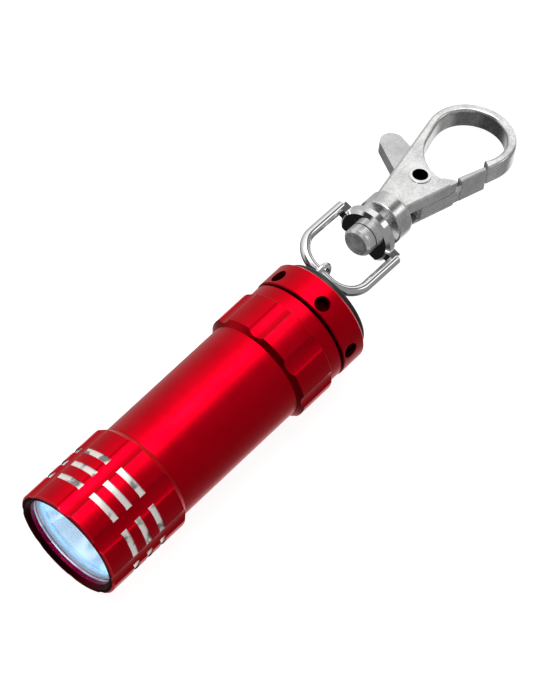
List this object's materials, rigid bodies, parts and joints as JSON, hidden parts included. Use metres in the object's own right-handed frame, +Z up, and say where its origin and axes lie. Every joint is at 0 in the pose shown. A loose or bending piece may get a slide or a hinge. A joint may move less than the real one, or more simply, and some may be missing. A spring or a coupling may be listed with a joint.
{
  "type": "keychain flashlight",
  "caption": "Small fluted metal flashlight with a screw-on head and tail cap, a rubber end button and a swivelling spring-gate snap hook on a bail.",
  "frame": {"origin": "centre of the bounding box at the height of the surface it lies on", "axes": "+X along the flashlight from the lens to the snap hook, +Z up, the flashlight resting on a flute"},
  "size_m": [0.1002, 0.0252, 0.0178],
  "materials": {
    "anodised_red": "satin anodised",
    "clear_lens": "polished",
    "nitrile": "matt",
    "reflector_plating": "polished",
    "led_lens": "clear epoxy",
    "circuit_board": "solder mask",
    "spring_steel": "drawn wire",
    "sleeve_plastic": "shrink film",
    "cell_steel": "nickel plated",
    "button_rubber": "matt",
    "black_plastic": "moulded",
    "contact_brass": "bright",
    "chrome_plate": "polished",
    "nickel_satin": "tumbled"
  },
  "bodies": {
    "barrel": {"barrel_tube": "anodised_red", "barrel_oring": "nitrile", "led": "led_lens", "led_board": "circuit_board", "led_spring": "spring_steel", "battery_sleeve": "sleeve_plastic", "battery_cell_1": "cell_steel", "battery_cell_2": "cell_steel", "battery_cell_3": "cell_steel", "battery_cell_4": "cell_steel"},
    "front_optics": {"lens": "clear_lens", "lens_gasket": "nitrile", "reflector": "reflector_plating"},
    "head": {"head_bezel": "anodised_red"},
    "tail_insert": {"switch_housing": "black_plastic", "switch_contact": "contact_brass", "tail_spring": "spring_steel"},
    "tail_cap": {"tail_cap": "anodised_red", "tail_oring": "nitrile", "tail_eyelet": "chrome_plate"},
    "button": {"tail_button": "button_rubber", "switch_plunger": "contact_brass", "button_spring": "spring_steel"},
    "bail": {"bail": "chrome_plate", "swivel_collar": "chrome_plate"},
    "hook": {"hook_body": "nickel_satin", "swivel_pin": "chrome_plate", "pivot_rivet": "chrome_plate", "gate_spring": "spring_steel"},
    "gate": {"gate_lever": "chrome_plate"}
  },
  "joints": [
    {"name": "optics_travel", "type": "slide", "parent": "barrel", "child": "front_optics", "axis": [-1, 0, 0], "range_m": [0, 0.0023]},
    {"name": "head_unscrew", "type": "hinge", "parent": "front_optics", "child": "head", "pos_m": [-0.04006, -0.00375, 0.00889], "axis": [-1, 0, 0], "range_deg": [0, 1080]},
    {"name": "insert_travel", "type": "slide", "parent": "barrel", "child": "tail_insert", "axis": [1, 0, 0], "range_m": [0, 0.0023]},
    {"name": "tail_unscrew", "type": "hinge", "parent": "tail_insert", "child": "tail_cap", "pos_m": [-0.00106, -0.00375, 0.00889], "axis": [1, 0, 0], "range_deg": [0, 1080]},
    {"name": "button_press", "type": "slide", "parent": "tail_cap", "child": "button", "axis": [-1, 0, 0], "range_m": [0, 0.001], "stiffness_N_per_m": 900, "springref_m": -0.001},
    {"name": "bail_swing", "type": "hinge", "parent": "tail_cap", "child": "bail", "pos_m": [0.00684, -0.00025, 0.01009], "axis": [0.0069, -0.9421, -0.3354], "range_deg": [-80, 99]},
    {"name": "hook_swivel", "type": "hinge", "parent": "bail", "child": "hook", "pos_m": [0.01794, 0.00063, 0.00786], "axis": [0.9776, 0.0769, -0.1959], "continuous": true},
    {"name": "gate_open", "type": "hinge", "parent": "hook", "child": "gate", "pos_m": [0.03086, 0.00204, 0.00527], "axis": [0.1953, 0.0154, 0.9806], "range_deg": [0, 24], "stiffness_Nm_per_rad": 0.03, "springref_deg": -20.05}
  ],
  "couplings": [
    {"joint": "optics_travel", "follows": "head_unscrew", "m_per_rad": 0.00011937},
    {"joint": "insert_travel", "follows": "tail_unscrew", "m_per_rad": 0.00011937}
  ]
}
